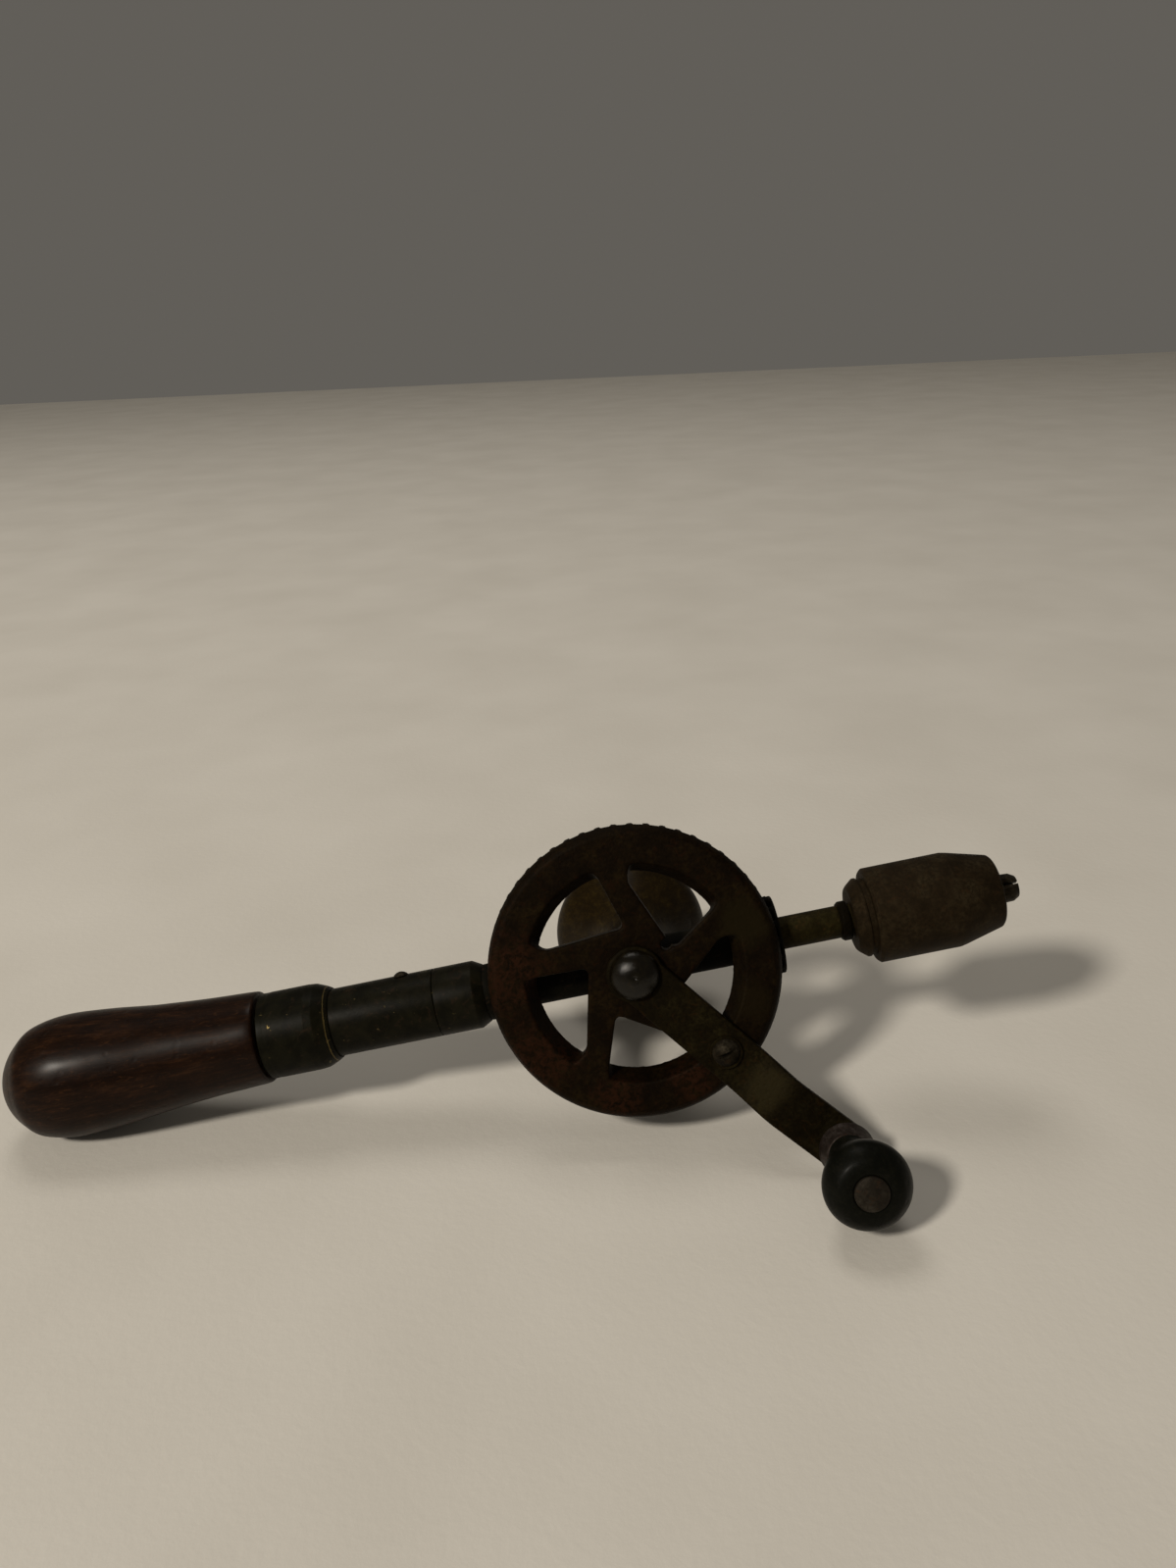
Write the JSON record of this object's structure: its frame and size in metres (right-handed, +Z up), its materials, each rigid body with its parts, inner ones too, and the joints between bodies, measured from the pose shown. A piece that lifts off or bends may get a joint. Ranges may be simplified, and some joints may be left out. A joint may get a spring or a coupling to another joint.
{
  "type": "hand drill",
  "caption": "Eggbeater hand drill: a spoked bevel crank wheel drives a spindle with a three-jaw chuck; wooden handle, side knob and crank knob.",
  "frame": {"origin": "centre of the bounding box's bottom face, on the surface that the drill lies on", "axes": "+Z up; +X lengthwise from the handle's butt to the chuck, which points 9.1 degrees above +X; the crank wheel faces -Y and 21.5 degrees upwards"},
  "size_m": [0.3018, 0.1424, 0.0884],
  "materials": {
    "black_enamel": "worn satin enamel",
    "frame_casting": "dark casting with worn paint",
    "rusty_iron": "brown patina, pitted, traces of red paint",
    "rusty_steel": "olive brown patina",
    "chuck_steel": "matte brown rust patina",
    "worn_steel": "worn, dull",
    "bright_steel": "ground",
    "bush_bronze": "oiled bearing bronze",
    "handle_wood": "old dark red-brown varnish, satin",
    "side_knob_wood": "old brown varnish, satin",
    "black_wood": "worn black lacquer, satin"
  },
  "bodies": {
    "frame": {"main_frame": "frame_casting", "barrel_tube": "black_enamel", "front_sleeve": "black_enamel", "barrel_screw": "worn_steel", "handle_tang": "worn_steel", "handle_ferrule": "black_enamel", "wood_handle": "handle_wood", "wheel_stud": "rusty_steel", "hub_washer": "worn_steel", "spindle_bush": "bush_bronze", "thrust_ball": "bright_steel", "retaining_screw": "worn_steel", "side_knob": "side_knob_wood", "side_knob_stud": "worn_steel", "side_knob_washer": "worn_steel"},
    "wheel": {"drive_wheel": "rusty_iron", "crank_arm": "rusty_steel", "rim_screw": "worn_steel", "rim_screw_washer": "rusty_steel", "knob_rivet": "worn_steel", "knob_collar": "rusty_steel"},
    "crank_knob": {"crank_knob": "black_wood"},
    "spindle": {"spindle": "rusty_steel", "drive_pinion": "frame_casting", "pinion_pin": "bright_steel", "spindle_collar": "rusty_steel", "chuck_body": "chuck_steel", "jaw_spring": "bright_steel"},
    "nose_ring": {"nose_ring": "worn_steel"},
    "shell": {"chuck_shell": "chuck_steel"},
    "jaw_1": {"jaw_1": "worn_steel"},
    "jaw_2": {"jaw_2": "worn_steel"},
    "jaw_3": {"jaw_3": "worn_steel"}
  },
  "joints": [
    {"name": "wheel_spin", "type": "hinge", "parent": "frame", "child": "wheel", "pos_m": [0.03779, 0.00382, 0.04521], "axis": [0.0577, 0.9306, -0.3614], "continuous": true},
    {"name": "spindle_spin", "type": "hinge", "parent": "frame", "child": "spindle", "pos_m": [0.03779, 0.00382, 0.04521], "axis": [0.9875, 0, 0.1576], "continuous": true},
    {"name": "crank_knob_spin", "type": "hinge", "parent": "wheel", "child": "crank_knob", "pos_m": [0.09215, -0.03889, 0.00742], "axis": [-0.0577, -0.9306, 0.3614], "continuous": true},
    {"name": "ring_travel", "type": "slide", "parent": "spindle", "child": "nose_ring", "axis": [0.9875, 0, 0.1576], "range_m": [-0.0008, 0.0036]},
    {"name": "shell_turn", "type": "hinge", "parent": "nose_ring", "child": "shell", "pos_m": [0.12666, 0.00382, 0.0594], "axis": [0.9875, 0, 0.1576], "range_deg": [-180.5, 811]},
    {"name": "jaw_1_slide", "type": "slide", "parent": "spindle", "child": "jaw_1", "axis": [-0.1467, 0.366, 0.919], "range_m": [-0.00037, 0.00162]},
    {"name": "jaw_2_slide", "type": "slide", "parent": "spindle", "child": "jaw_2", "axis": [0.0234, -0.9889, -0.1465], "range_m": [-0.00037, 0.00162]},
    {"name": "jaw_3_slide", "type": "slide", "parent": "spindle", "child": "jaw_3", "axis": [0.1233, 0.6229, -0.7725], "range_m": [-0.00037, 0.00162]}
  ],
  "couplings": [
    {"joint": "spindle_spin", "follows": "wheel_spin", "ratio": 4},
    {"joint": "shell_turn", "follows": "ring_travel", "rad_per_m": 3927},
    {"joint": "jaw_1_slide", "follows": "ring_travel", "ratio": 0.44523},
    {"joint": "jaw_2_slide", "follows": "ring_travel", "ratio": 0.44523},
    {"joint": "jaw_3_slide", "follows": "ring_travel", "ratio": 0.44523}
  ]
}
